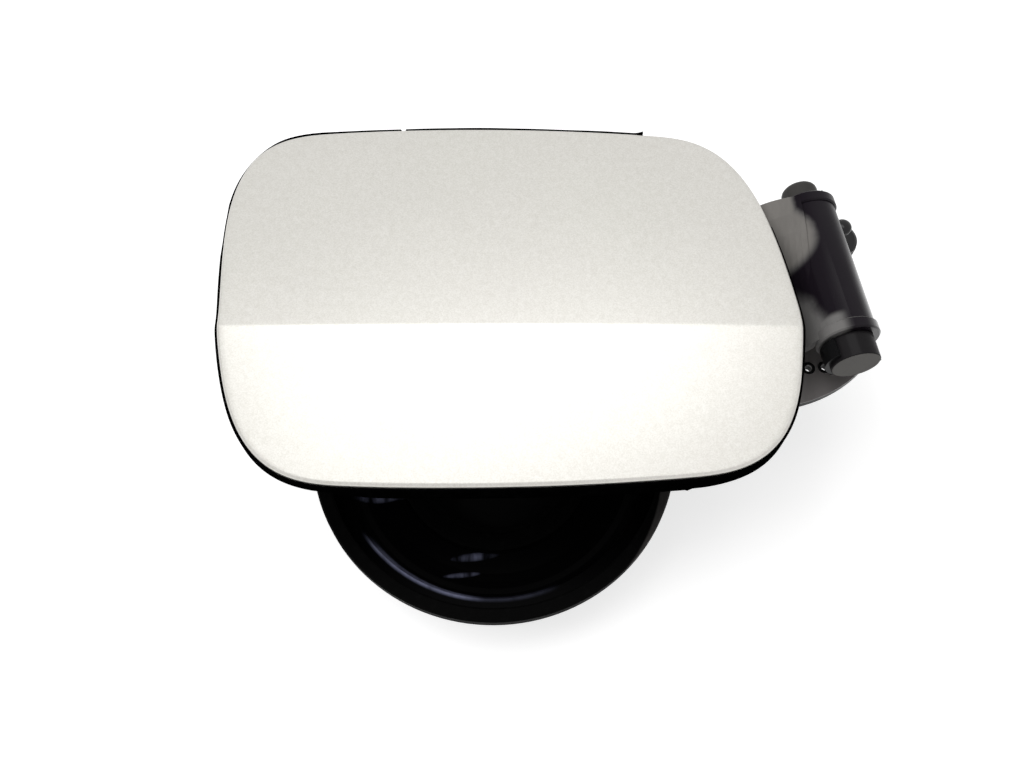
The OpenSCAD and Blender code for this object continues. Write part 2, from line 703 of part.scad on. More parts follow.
// Expansion rivet through the plate's round lug
module at_rivet() {
    at_hinge()
        translate([rivet_at[0], rivet_at[1], plate_z])
            children();
}
flange_top = 0.3 + 1.7;
module rivet_sleeve() {
    color([0.05, 0.05, 0.055])
        at_rivet()
            difference() {
                union() {
                    translate([0, 0, -plate_t])
                        cylinder(h = plate_t + 0.5, r = rivet_r + 0.5);
                    translate([0, 0, -12])
                        cylinder(h = 12, r = rivet_r);
                    translate([0, 0, -14])
                        cylinder(h = 2, r1 = rivet_r - 0.8, r2 = rivet_r);
                    translate([0, 0, 0.3])
                        cylinder(h = 1.1, r = rivet_flange_r);
                    translate([0, 0, 1.4])
                        cylinder(h = 0.6, r1 = rivet_flange_r, r2 = rivet_flange_r - 1);
                }
                translate([0, 0, -15])
                    cylinder(h = 20, r = rivet_pin_r + pin_clear);
            }
}
module rivet_pin() {
    head = flange_top + rivet_travel + 0.3;
    color([0.05, 0.05, 0.055])
        at_rivet() {
            translate([0, 0, -8])
                cylinder(h = head + 8.5, r = rivet_pin_r);
            translate([0, 0, head])
                rotate_extrude()
                    polygon(concat([[0, 0]], [for (i = [0:6]) [3.3 * cos(15 * i), 0.6 + 2.2 * sin(15 * i)]],
                        [[0, 2.8]], [[0, 0]]));
            translate([0, 0, head])
                cylinder(h = 0.61, r = 3.3);
        }
}

// Rubber guide for the lock pin
module lock_grommet() {
    lip = seat_gap;
    color([0.05, 0.05, 0.052])
        translate([-tower_x, lock_y, lock_z])
            rotate([0, 90, 0])
                difference() {
                    union() {
                        translate([0, 0, -3 - lip])
                            cylinder(h = 3, r = grommet_r + 2);
                        translate([0, 0, -3])
                            cylinder(h = tower_t + 3.4, r = grommet_r);
                        translate([0, 0, tower_t + lip])
                            cylinder(h = 1, r = grommet_r + 1);
                    }
                    translate([0, 0, -5])
                        cylinder(h = tower_t + 12, r = lock_r);
                }
}

// Spring-steel clip nuts that slide over the brackets' edges, with the screw hole at the origin
module clip_nut() {
    inner = plate_t / 2 + seat_gap;
    outer = inner + clip_t;
    flare = outer + 1.2;
    lead = clip_tip + clip_lead;
    half = [[clip_back + clip_t, outer], [lead, outer], [clip_tip, flare], [clip_tip, flare - clip_t - 0.2],
        [lead, inner], [clip_back, inner]];
    difference() {
        translate([-clip_len / 2, 0, 0])
            rotate([90, 0, 90])
                linear_extrude(clip_len)
                    polygon(concat(half, [for (i = [len(half) - 1:-1:0]) [half[i][0], -half[i][1]]]));
        translate([0, 0, -outer - 1])
            cylinder(h = 2 * outer + 2, r = screw_r);
    }
}
module clip_nut_rear() {
    color([0.55, 0.56, 0.57])
        translate([0, leg_nut_y, flange_z - plate_t / 2])
            clip_nut();
}
module clip_nut_side() {
    color([0.55, 0.56, 0.57])
        translate([-side_nut_x, lock_y, flange_z - plate_t / 2])
            rotate([0, 0, 90])
                clip_nut();
}

// Painted door skin
module door_skin() {
    e = skin_edge_h;
    r = edge_roll;
    t = skin_t;
    color([0.80, 0.79, 0.76])
        at_door()
            surface_sheet([[r, 0], [0.5 * r, -0.12 * r], [0.15 * r, -0.42 * r], [0, -0.95 * r], [0, -e], [t, -e],
                [t, -0.95 * r], [t + 0.15 * r, -t - 0.25 * r], [r + 0.3, -t]]);
}

// Black carrier: panel, rim and ribs, moulded in one with the swan-neck arm and the barrel
panel_top = -skin_t - seat_gap;
panel_low = panel_top - panel_t;
rim_top = -skin_edge_h - seat_gap;
rim_low = rim_top - rim_h;
rib_low = panel_low - rib_h;
module rib_along_x(y, x0, x1) {
    n = 8;
    xs = [for (i = [0:n]) x0 + (x1 - x0) * i / n];
    across(y - rib_t / 2, y + rib_t / 2)
        polygon(concat([for (x = xs) [x, skin_z(x, y) + panel_low + panel_t / 2]],
            [for (i = [n:-1:0]) [xs[i], skin_z(xs[i], y) + rib_low]]));
}
module rib_along_y(x, y0, y1) {
    ys = concat([for (i = [0:4]) y0 + (-crease_band - y0) * i / 4], [-crease_band / 2],
        [for (i = [0:5]) y1 * i / 5]);
    n = len(ys) - 1;
    translate([x - rib_t / 2, 0, 0])
        rotate([90, 0, 90])
            linear_extrude(rib_t)
                polygon(concat([for (y = ys) [y, skin_z(x, y) + panel_low + panel_t / 2]],
                    [for (i = [n:-1:0]) [ys[i], skin_z(x, ys[i]) + rib_low]]));
}
module carrier_panel() {
    in_wall = skin_t + seat_gap + 0.1;
    i = rim_inset;
    low_in = i + rim_t;
    surface_sheet([[edge_roll + 0.6, panel_top], [in_wall + 0.5, panel_top - 0.6], [in_wall, panel_top - 1.6],
        [in_wall, rim_top], [i, rim_top], [i, rim_low + 0.5], [i + 0.4, rim_low], [low_in - 0.3, rim_low],
        [low_in, rim_low + 0.5], [low_in, panel_low - 0.8], [low_in + 1, panel_low]]);
}
buffers = [[-half_w + 18, upper_h - 20], [-half_w + 32, -lower_h + 18]];
function below_panel(p, gap) = skin_z(p[0], p[1]) + panel_low - gap;
// Highest level that clears the panel over a patch of half sizes h round p.
function under_patch(p, h, gap) =
    min([for (x = [-1, 1]) for (y = [-1, 1]) skin_z(p[0] + x * h[0], p[1] + y * h[1])]) + panel_low - gap;

// Paths of the swan neck in the hinge frame, from the barrel under the door's edge to the panel:
// low at the front, where it dips, and high at the rear, where it runs almost level.
foot_far = -hinge_out - 21;
neck_end_x = -hinge_out - 10.5;
foot_mid = surface_at_hinge(foot_far + 5, 0) + panel_low;
low_path = concat(
    curve([-6.8, 5.2], [-10.4, 1.4], [-12.6, -neck_drop], [-hinge_out + 1, -neck_drop], 7),
    curve([-hinge_out, -neck_drop], [-hinge_out - 6, -neck_drop], [neck_end_x + 1, -4], [neck_end_x, 2], 6),
    [[neck_end_x - 0.4, foot_mid - 1]]);
high_path = concat(
    curve([-4.5, 8.5], [-9, 8.6], [-14, neck_rise + 2.2], [-hinge_out + 1, neck_rise + 0.2], 7),
    curve([-hinge_out, neck_rise], [-hinge_out - 5, neck_rise - 0.6], [neck_end_x + 1, neck_rise],
        [neck_end_x - 1, neck_rise + 1], 6),
    [[neck_end_x - 5, foot_mid - 1]]);
web_low_to = -12;
web_steps = 8;
// Share of the high path at a place along the hinge axis.
function web_share(y) = let (t = min(1, max(0, (y - web_low_to) / (arm_w / 2 - web_low_to)))) t * t * (3 - 2 * t);
function web_path(y) = [for (i = [0:len(low_path) - 1]) low_path[i] + (high_path[i] - low_path[i]) * web_share(y)];
module arm_web() {
    sections = [for (k = [0:web_steps]) let (y = arm_w * (k / web_steps - 0.5))
        [for (p = strip(web_path(y), arm_t)) [p[0], y, p[1]]]];
    around = len(sections[0]);
    back = web_steps * around;
    half = around / 2 - 2;
    sides = [for (k = [0:web_steps - 1]) for (i = [0:around - 1]) let (a = k * around, n = (i + 1) % around)
        each quad(a + i, a + around + i, a + around + n, a + n)];
    front_end = [for (i = [0:half]) each quad(i, i + 1, around - 2 - i, around - 1 - i)];
    rear_end = [for (f = front_end) [back + f[2], back + f[1], back + f[0]]];
    polyhedron(flat_list(sections), concat(sides, front_end, rear_end), convexity = 8);
}
module arm_foot() {
    tilt_y = atan((surface_at_hinge(foot_far + 5, -arm_w / 2) - surface_at_hinge(foot_far + 5, arm_w / 2)) / arm_w);
    translate([foot_far + 5, 0, foot_mid + 0.6])
        rotate([-tilt_y, 0, 0])
            translate([-9, -arm_w / 2, -2.2])
                cube([18.5, arm_w, 2.8]);
}
module arm_gusset(y) {
    low = -3 + (neck_rise + 3) * web_share(y);
    across(y - rib_t / 2, y + rib_t / 2)
        polygon([[neck_end_x - 1, low], [neck_end_x - 0.5, foot_mid - 0.8], [foot_far - 2, foot_mid - 0.8],
            [foot_far, foot_mid - 3]]);
}
// The cam sweeps the leaf spring as the door passes half way.
module cam() {
    across(-cam_w / 2, cam_w / 2)
        intersection() {
            circle(cam_r);
            polygon([[0, 0], [20, -8], [20, -26], [6, -26]]);
        }
}
module barrel_with_arm() {
    half = barrel_len / 2;
    soft = 0.5;
    difference() {
        union() {
            translate([0, -half, 0])
                rotate([-90, 0, 0])
                    rotate_extrude()
                        polygon([[1, 0], [collar_r - soft, 0], [collar_r, soft], [collar_r, collar_w - soft],
                            [collar_r - soft, collar_w], [barrel_r, collar_w], [barrel_r, barrel_len - collar_w],
                            [collar_r - soft, barrel_len - collar_w], [collar_r, barrel_len - collar_w + soft],
                            [collar_r, barrel_len - soft], [collar_r - soft, barrel_len], [1, barrel_len]]);
            arm_web();
            arm_foot();
            for (y = [-arm_w / 2 + rib_t, -arm_w / 6, arm_w / 6, arm_w / 2 - rib_t])
                arm_gusset(y);
            cam();
        }
        rod(-half - 1, half + 1, pin_r + pin_clear);
    }
}
module door_carrier() {
    color([0.06, 0.06, 0.065]) {
        difference() {
            at_door() {
                carrier_panel();
                for (x = [-44, -4, 34])
                    rib_along_y(x, -lower_h + 9, upper_h - 9);
                rib_along_x(-26, -half_w + 16, half_w - 30);
                for (y = [hinge_up - arm_w / 4, hinge_up + arm_w / 2])
                    rib_along_x(y, -44, half_w - 31);
                for (b = buffers)
                    translate([b[0], b[1], below_panel(b, 5)])
                        cylinder(h = 5.8, r = buffer_boss_r);
            }
            for (p = striker_screw_at)
                translate([p[0], p[1], striker_top - 3])
                    cylinder(h = 5.6, r = striker_screw_r + pin_clear);
        }
        at_hinge()
            barrel_with_arm();
    }
}
buffer_boss_r = 3;

// Rubber lip on the carrier's rim, whose leaf stands up beside the skin's edge
module edge_lip() {
    on_rim = rim_inset - seat_gap;
    low = rim_top - lip_h;
    top = -skin_edge_h + lip_up;
    color([0.03, 0.03, 0.03])
        at_door()
            edge_strip([[-lip_out, top], [-lip_out, low + 0.5], [on_rim, low], [on_rim, rim_top],
                [-seat_gap, rim_top], [-seat_gap, top]], 4);
}

// Striker that the lock pin holds, screwed under the carrier
striker_x = -tower_x + tower_t + 4.4;
striker_len = 16;
striker_half = 13;
striker_top = crease_z + under_patch([striker_x + striker_len / 2 - door_x, lock_y - door_y],
    [striker_len / 2, striker_half], seat_gap);
striker_screw_at = [for (s = [-1, 1]) [striker_x + 10, lock_y + s * 8.5]];
striker_screw_r = 1.5;
module striker() {
    color([0.50, 0.51, 0.52])
        difference() {
            union() {
                translate([striker_x, lock_y - striker_half, striker_top - 2])
                    cube([striker_len, 2 * striker_half, 2]);
                translate([striker_x, lock_y - 8, lock_z])
                    cube([2.4, 16, striker_top - lock_z]);
                translate([striker_x, lock_y, lock_z])
                    rotate([0, 90, 0])
                        cylinder(h = 2.4, r = 8);
            }
            translate([striker_x - 1, lock_y, lock_z])
                rotate([0, 90, 0])
                    cylinder(h = 5, r = lock_pin_r + striker_clear);
            for (p = striker_screw_at)
                translate([p[0], p[1], striker_top - 3])
                    cylinder(h = 4, r = striker_screw_r + 0.3);
        }
}
module striker_screws() {
    color([0.5, 0.5, 0.52])
        for (p = striker_screw_at)
            translate([p[0], p[1], striker_top - 2 - 0.3]) {
                cylinder(h = 4.6, r = striker_screw_r);
                translate([0, 0, -1.8])
                    cylinder(h = 1.801, r = 3.6);
            }
}

// Clip that carries the filler cap while refuelling
holder_at = [-2, 6];
holder_r = 11;
holder_half = [17, 13];
holder_t = 2.4;
holder_len = 12;
holder_mouth = 14;
module cap_holder() {
    top = under_patch(holder_at, holder_half, rib_h + seat_gap);
    axis_z = -holder_r - 3;
    color([0.06, 0.06, 0.065])
        at_door()
            translate([holder_at[0], holder_at[1], top])
                difference() {
                    union() {
                        translate([-holder_half[0], -holder_half[1], -holder_t])
                            cube([2 * holder_half[0], 2 * holder_half[1], holder_t]);
                        translate([0, holder_half[1], axis_z])
                            rotate([90, 0, 0])
                                cylinder(h = holder_len, r = holder_r + holder_t);
                    }
                    translate([0, holder_half[1] + 1, axis_z])
                        rotate([90, 0, 0])
                            cylinder(h = holder_len + 2, r = holder_r);
                    translate([-holder_mouth / 2, -holder_half[1] - 1, axis_z - 2 * holder_r])
                        cube([holder_mouth, 2 * holder_half[1] + 2, 2 * holder_r]);
                }
}

// Rubber buffers that meet the body when the door is shut
module buffer(p) {
    at_door()
        translate([p[0], p[1], under_patch(p, [buffer_r, buffer_r], seat_gap) - buffer_h])
            difference() {
                union() {
                    cylinder(h = 2, r1 = buffer_r - 1.6, r2 = buffer_r);
                    translate([0, 0, 2])
                        cylinder(h = buffer_h - 2, r = buffer_r);
                }
                translate([0, 0, buffer_h - 5])
                    cylinder(h = 6, r = buffer_boss_r + pin_clear);
            }
}
module buffer_upper() {
    color([0.05, 0.05, 0.052])
        buffer(buffers[0]);
}
module buffer_lower() {
    color([0.05, 0.05, 0.052])
        buffer(buffers[1]);
}

// Rubber pad on the hinge plate that stops the shut door being pushed in
module arm_stop() {
    color([0.05, 0.05, 0.052])
        at_hinge()
            translate([stop_at[0] - stop_size / 2, stop_at[1] - stop_size / 2, plate_z + 0.3])
                cube([stop_size, stop_size, -plate_z - 2 * 0.3 - neck_drop - arm_t / 2]);
}

filler_pot();
rim_seal();
neck_seal();
drain_nipple();
hinge_pin();
leaf_spring();
rivet_sleeve();
rivet_pin();
lock_grommet();
clip_nut_rear();
clip_nut_side();
door_skin();
door_carrier();
edge_lip();
striker();
striker_screws();
cap_holder();
buffer_upper();
buffer_lower();
arm_stop();
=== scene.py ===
# Looks of a fuel filler flap: a silver painted door on a black hinge arm, over a round black filler pot.
# Lengths are in millimetres unless a line says otherwise, and MM turns them into Blender's metres.
import json
import math

import bpy
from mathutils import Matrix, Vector


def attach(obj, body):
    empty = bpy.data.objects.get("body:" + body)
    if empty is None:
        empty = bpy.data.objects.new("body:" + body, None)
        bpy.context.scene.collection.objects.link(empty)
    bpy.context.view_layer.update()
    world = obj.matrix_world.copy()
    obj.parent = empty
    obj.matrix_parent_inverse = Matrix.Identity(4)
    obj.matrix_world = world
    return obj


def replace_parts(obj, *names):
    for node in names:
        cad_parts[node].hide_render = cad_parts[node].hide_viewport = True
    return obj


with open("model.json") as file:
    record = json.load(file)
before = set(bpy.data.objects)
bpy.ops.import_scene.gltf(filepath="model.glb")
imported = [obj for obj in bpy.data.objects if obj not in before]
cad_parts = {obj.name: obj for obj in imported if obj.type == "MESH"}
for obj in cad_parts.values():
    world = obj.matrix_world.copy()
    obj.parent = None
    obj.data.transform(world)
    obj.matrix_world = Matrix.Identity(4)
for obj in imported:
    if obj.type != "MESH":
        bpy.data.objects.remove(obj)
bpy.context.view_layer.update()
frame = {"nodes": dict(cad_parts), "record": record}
MM = 0.001


# Finishes

def operator(operation):
    """An operator of Value that adds its Math node, and its reflected form for a number on the left."""
    return (
        lambda value, other: value.maths(operation, value, other),
        lambda value, other: value.maths(operation, other, value),
    )


class Value:
    """A socket of a finish. An operator on values adds its Math node."""

    __add__, __radd__ = operator("ADD")
    __sub__, __rsub__ = operator("SUBTRACT")
    __mul__, __rmul__ = operator("MULTIPLY")
    __truediv__, __rtruediv__ = operator("DIVIDE")
    __pow__, __rpow__ = operator("POWER")
    __lt__, __gt__ = operator("LESS_THAN")

    def __init__(self, finish, socket):
        self.finish = finish
        self.socket = socket

    def __neg__(self):
        return 0 - self

    def maths(self, operation, *terms, clamp=False):
        settings = {"operation": operation, "use_clamp": clamp}
        return self.finish.node("ShaderNodeMath", settings, dict(enumerate(terms)))

    def clamped(self):
        """The value, kept between 0 and 1."""
        return self.maths("ADD", self, 0, clamp=True)

    def larger(self, other):
        return self.maths("MAXIMUM", self, other)

    def size(self):
        """The value without its sign."""
        return self.maths("ABSOLUTE", self)

    def step(self, start, end):
        """0 below start, 1 above end and a smooth rise between them."""
        return self.finish.node(
            "ShaderNodeMapRange",
            {"interpolation_type": "SMOOTHSTEP"},
            {0: self, 1: start, 2: end, 3: 0.0, 4: 1.0},
        )


class Finish:
    """A material, or the world, that is built node by node on one shader."""

    def __init__(self, name, kind=bpy.data.materials, **sockets):
        self.material = kind.new(name)
        self.material.use_nodes = True
        self.tree = self.material.node_tree
        self.shader = self.tree.nodes["Principled BSDF" if kind == bpy.data.materials else "Background"]
        for socket, value in sockets.items():
            self.set(socket.replace("_", " ").title().replace("Ior", "IOR"), value)
        place = self.node("ShaderNodeTexCoord", {}, {}, "Object")
        self.place = self.node("ShaderNodeVectorMath", {"operation": "SCALE"}, {0: place, 3: 1 / MM})

    def put(self, socket, value):
        """Links a value to a socket, or sets the socket to a number, a vector or a colour."""
        if isinstance(value, Value):
            self.tree.links.new(value.socket, socket)
        elif hasattr(value, "__len__") and len(value) == 3 and socket.type == "RGBA":
            socket.default_value = (*value, 1)
        else:
            socket.default_value = value

    def set(self, socket, value):
        """Puts a value into one of the shader's own sockets."""
        self.put(self.shader.inputs[socket], value)

    def node(self, kind, settings, inputs, output=0):
        """Adds a node with its settings and inputs, and gives one of its outputs."""
        made = self.tree.nodes.new(kind)
        for name, value in settings.items():
            setattr(made, name, value)
        for socket, value in inputs.items():
            self.put(made.inputs[socket], value)
        return Value(self, made.outputs[output])

    def mix(self, share, first, second):
        """Colour between first and second."""
        return self.node("ShaderNodeMix", {"data_type": "RGBA"}, {0: share, 6: first, 7: second}, 2)

    def axes(self, origin=(0, 0, 0), turn=0):
        """Coordinates in millimetres from origin, turned about z by turn."""
        parts = [self.node("ShaderNodeSeparateXYZ", {}, {0: self.place}, i) for i in range(3)]
        x, y, z = (part - start for part, start in zip(parts, origin))
        return x * math.cos(turn) + y * math.sin(turn), y * math.cos(turn) - x * math.sin(turn), z

    def noise(self, grain, detail=2, roughness=0.5, stretch=(1, 1, 1)):
        """Soft noise from 0 to 1 whose grain is a length in millimetres."""
        place = self.node("ShaderNodeVectorMath", {"operation": "MULTIPLY"}, {0: self.place, 1: stretch})
        inputs = {"Vector": place, "Scale": 1 / grain, "Detail": detail, "Roughness": roughness}
        return self.node("ShaderNodeTexNoise", {}, inputs)

    def cell_shade(self, grain):
        """A shade from 0 to 1 for each of many small cells, whose grain is a length in millimetres."""
        colour = self.node("ShaderNodeTexVoronoi", {}, {"Vector": self.place, "Scale": 1 / grain}, "Color")
        return self.node("ShaderNodeSeparateColor", {}, {0: colour}, 0)

    def bump(self, height, depth, strength=1.0):
        """Surface relief whose full height is a depth in millimetres."""
        inputs = {"Height": height, "Distance": depth * MM, "Strength": strength}
        self.set("Normal", self.node("ShaderNodeBump", {}, inputs, "Normal"))


# Door's outline and surface, in the door's own frame: the crease is y = 0 and its middle is the origin.
# A side is 1 for the right and -1 for the left. The sides are widest at WAIST_Y and lean in from there to
# round corners, the lower and the upper edge bow, and the whole face is crowned.

DOOR_PLACE = (6, 18.5, 81.99)
UPPER_H, LOWER_H = 82.95, 52.75
HALF_W = {1: 95.4, -1: 95.75}
WAIST_Y, WAIST_SOFT = 1.6, 4
LEAN = {("upper", 1): 10.2, ("upper", -1): -7.4, ("lower", 1): 4.9, ("lower", -1): 8.4}
CORNER = {("upper", 1): 37.1, ("upper", -1): 42, ("lower", 1): 37.3, ("lower", -1): 39.2}
CORNER_POWER = 3.4
BOW_LOW, BOW_LOW_X = 5.3, -19
BOW_TOP, BOW_TOP_X = 5.5, -15.6
CROWN_SIDES, CROWN_TOP, CROWN_W = 1.2, 0.8, 95.5
RISE_UP, RISE_TURN, RISE_DOWN = (math.tan(math.radians(slope)) for slope in (2, 8, 11))
CREASE_BAND, CREASE_SHARP = 7, 1.4
BAND_LOW, BAND_HIGH = -CREASE_BAND - 1, 2
SKIN_T, SKIN_EDGE_H, EDGE_ROLL = 0.8, 3.2, 1.1

CORNER_STEPS = 40
CREASE_STEPS = 6
COLUMNS = 96
ROLL_STEPS = 8


def crease_profile(y):
    """Height across the crease: gentle above it, a sharp turn, a soft turn and then the lower slope."""
    soft = CREASE_BAND - CREASE_SHARP
    past = y + CREASE_SHARP
    sharp_z = (RISE_UP - RISE_TURN) * CREASE_SHARP / 2
    if y > 0:
        return -RISE_UP * y - CROWN_TOP * (y / UPPER_H) ** 2
    if y > -CREASE_SHARP:
        return -RISE_UP * y - (RISE_UP + RISE_TURN) * y * y / (2 * CREASE_SHARP)
    if y > -CREASE_BAND:
        return sharp_z + RISE_TURN * past - (RISE_DOWN - RISE_TURN) * past**2 / (2 * soft)
    return sharp_z - (RISE_TURN + RISE_DOWN) * soft / 2 + RISE_DOWN * (y + CREASE_BAND)


def skin_z(x, y):
    """Height of the door's outer face."""
    return crease_profile(y) - CROWN_SIDES * (x / CROWN_W) ** 2


def side_x(y, side, inset):
    """x of the outline on one side at height y, set in by inset: it leans in from the widest point and
    ends in a round corner."""
    half = "upper" if y > WAIST_Y else "lower"
    height = UPPER_H - WAIST_Y if half == "upper" else LOWER_H + WAIST_Y
    away = abs(y - WAIST_Y)
    share = min(1, away / (height - inset))
    lean = LEAN[half, side] * (math.hypot(away, WAIST_SOFT) - WAIST_SOFT) / (height - WAIST_SOFT)
    turned = 1 - (1 - share**CORNER_POWER) ** (1 / CORNER_POWER)
    return side * (HALF_W[side] - inset - lean - (CORNER[half, side] - inset) * turned)


def row_heights(inset):
    """Heights of the lattice's rows, close together in the corners and the crease's band."""
    turns = [math.sin(math.pi / 2 * i / CORNER_STEPS) for i in range(CORNER_STEPS + 1)]
    band_steps = round(CREASE_STEPS * CREASE_BAND / CREASE_SHARP)
    crease = [*range(band_steps, CREASE_STEPS, -2), *range(CREASE_STEPS, -CREASE_STEPS, -1)]
    rows = [BAND_LOW - (LOWER_H + BAND_LOW - inset) * turn for turn in reversed(turns)]
    rows += [-CREASE_SHARP * i / CREASE_STEPS for i in crease]
    return rows + [BAND_HIGH + (UPPER_H - BAND_HIGH - inset) * turn for turn in turns]


def bowed(x, y):
    """Height of a row at x, with the bow of the lower and the upper edge."""
    if y < 0:
        return y + BOW_LOW * ((x - BOW_LOW_X) / CROWN_W) ** 2 * (y / LOWER_H) ** 2
    return y - BOW_TOP * ((x - BOW_TOP_X) / CROWN_W) ** 2 * (y / UPPER_H) ** 2


def lattice(inset, lift):
    """Rows of points over the door, set in from its outline by inset and raised by lift."""
    rows = []
    for y in row_heights(inset):
        left, right = side_x(y, -1, inset), side_x(y, 1, inset)
        across = [left + (right - left) * j / COLUMNS for j in range(COLUMNS + 1)]
        row = [Vector((x, bowed(x, y))) for x in across]
        rows.append([(*place, skin_z(*place) + lift) for place in row])
    return rows


def edge_loop(rows):
    """The lattice's edge as one loop, anticlockwise from above, from the lower left corner."""
    right = [row[-1] for row in rows[1:]]
    left = [row[0] for row in rows[-2:0:-1]]
    return rows[0] + right + rows[-1][-2::-1] + left


def add_object(name, data):
    added = bpy.data.objects.new(name, data)
    bpy.context.scene.collection.objects.link(added)
    return added


def add_piece(name, points, faces, body):
    """Piece with its points in the door's frame."""
    mesh = bpy.data.meshes.new(name)
    mesh.from_pydata([Vector(DOOR_PLACE) * MM + Vector(point) * MM for point in points], [], faces)
    mesh.validate()
    piece = add_object(name, mesh)
    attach(piece, body)
    return piece


def shade(piece, finish, angle=35):
    """Gives the piece its finish, smooth but for edges sharper than angle in degrees."""
    piece.data.materials.clear()
    piece.data.materials.append(finish.material)
    piece.data.shade_smooth()
    piece.data.set_sharp_from_angle(angle=math.radians(angle))


def roll(depth, radius):
    """Rolled edge of the sheet's face at a depth, from the flat to the side, as pairs of inset and lift."""
    turns = [math.pi / 2 * i / ROLL_STEPS for i in range(ROLL_STEPS + 1)]
    return [(depth + radius * (1 - math.sin(t)), -depth - radius * (1 - math.cos(t))) for t in turns]


def painted_door():
    """Painted sheet with its rolled edge, in the place of the plain skin. Its points are the outer face,
    the inner face and then the loops round the edge between them."""
    outside, inside = roll(0, EDGE_ROLL), roll(SKIN_T, EDGE_ROLL - SKIN_T)[::-1]
    profile = outside + [(0, -SKIN_EDGE_H), (SKIN_T, -SKIN_EDGE_H)] + inside
    outer, inner = lattice(*profile[0]), lattice(*profile[-1])
    loops = [edge_loop(lattice(*pair)) for pair in profile[1:-1]]
    wide, count = COLUMNS + 1, len(outer) * (COLUMNS + 1)
    indexed = [[i * wide + j for j in range(wide)] for i in range(len(outer))]
    rim = edge_loop(indexed)
    around = len(rim)
    rings = [rim]
    rings += [[2 * count + k * around + i for i in range(around)] for k in range(len(loops))]
    rings += [[i + count for i in rim]]
    faces = []
    for low, high in zip(indexed, indexed[1:]):
        for j in range(COLUMNS):
            corner = (low[j], low[j + 1], high[j + 1], high[j])
            faces += [corner, tuple(i + count for i in reversed(corner))]
    for ring, following in zip(rings, rings[1:]):
        for i in range(around):
            n = (i + 1) % around
            faces.append((ring[i], following[i], following[n], ring[n]))
    points = [point for rows in (outer, inner, loops) for row in rows for point in row]
    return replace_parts(add_piece("painted_door", points, faces, "door"), "door_skin")


# Rubber lip: a strip on the carrier's rim, below the sheet's edge, with a leaf that stands up round it.
# It leaves out the right side above LIP_END_Y, and stays right of LIP_LEFT_END.

SEAT_GAP, RIM_INSET = 0.3, 0.5
LIP_H, LIP_END_Y, LIP_LEFT_END = 2.4, 42, -98.7
LIP_STEPS = 5
LEAF_OUT, LEAF_TOP_OUT, LEAF_LEFT_OUT = 0.88, 0.25, 0.15
LEAF_UP, LEAF_TOP_UP = 1.7, 0.75
LEAF_MEAN, LEAF_THINNING = 0.97, 0.3
OUT_WAVE, UP_WAVE = (0.03, 0.31, 0.17), (0.1, 0.11, -0.23)
LEAF_ROUND_OUTSIDE, LEAF_ROUND_INSIDE = 0.15, 0.1
THIN_CORNER = (-89, 67, 9)
CURL_LENGTH, CURL_UP = 3.5, 1.2
NICK_OUT, NICK_UP = 0.36, 0.4
LIP_NICKS = [(-39, 83, 0.7), (-96.5, 33, 0.6), (-97, 4, 0.8)]
HEM_SLOPE_W, HEM_SLOPE_H, HEM_RISE = 0.3, 0.5, 0.1
HEM_SAG, HEM_SAG_MORE = 2.8, 1.2
SPIKE_SAG, SPIKE_SAG_LESS, SPIKE_LENGTH = 1, 1.6, 1.6
LIP_SPIKE = (57, -49, 0.7)


def ramp(value, start, end):
    """0 at start and before it, 1 at end and after it, and an even rise between them."""
    return min(1, max(0, (value - start) / (end - start)))


def nearness(x, y, spot):
    """1 at the middle of a spot, given as its x, y and width, and less and less round it."""
    spot_x, spot_y, width = spot
    return math.exp(-((x - spot_x) ** 2 + (y - spot_y) ** 2) / width**2)


def wave(x, y, size, turn_x, turn_y):
    """Unevenness of worn rubber, up to size each way."""
    return size * math.sin(x * turn_x + y * turn_y)


def hem_sag(x, y):
    """How far the lip hangs below its seat along the door's front, most to the left of its spike."""
    sag = HEM_SAG + HEM_SAG_MORE * ramp(x, 80, 62)
    if x < LIP_SPIKE[0]:
        sag += SPIKE_SAG - SPIKE_SAG_LESS * ramp(x, LIP_SPIKE[0], 20)
    return sag * ramp(y, -8, -18) * ramp(x, -58, -45)


def leaf_edge(x, y, from_end):
    """How far the lip's leaf stands out and up at a place on the door's edge, where it is worn thin in one
    corner, nicked, and curled up at the end that from_end is measured from."""
    thin = nearness(x, y, THIN_CORNER)
    out = LEAF_OUT * (LEAF_MEAN - LEAF_THINNING * thin - wave(x, y, *OUT_WAVE))
    out += (LEAF_TOP_OUT * ramp(y, 74, 80) + LEAF_LEFT_OUT * ramp(x, -60, -80)) * (1 - thin)
    up = LEAF_UP + LEAF_TOP_UP * ramp(y, 70, 78) * (1 - thin) - wave(x, y, *UP_WAVE)
    for nick_x, nick_y, width in LIP_NICKS:
        cut = math.exp(-(((x - nick_x) ** 2 + (y - nick_y) ** 2) / width**2) ** 2)
        out -= (out - NICK_OUT) * cut
        up -= (up - NICK_UP) * cut
    return out, up + CURL_UP * ramp(from_end, CURL_LENGTH, 0) ** 2


def lip_section(out, up, sag, spike):
    """The lip's section as pairs of inset and lift, from the leaf's outer side down and round."""
    on_rim, rim_top, top = RIM_INSET - SEAT_GAP, -SKIN_EDGE_H - SEAT_GAP, -SKIN_EDGE_H + up
    hem = rim_top - LIP_H - sag
    return [
        (-out, top - LEAF_ROUND_OUTSIDE),
        (-out, hem + HEM_SLOPE_H),
        (-out + HEM_SLOPE_W, hem + HEM_RISE - SPIKE_LENGTH * spike),
        (on_rim, hem),
        (on_rim, rim_top),
        (-SEAT_GAP, rim_top),
        (-SEAT_GAP, top - LEAF_ROUND_INSIDE),
        (-(out + SEAT_GAP) / 2, top),
    ]


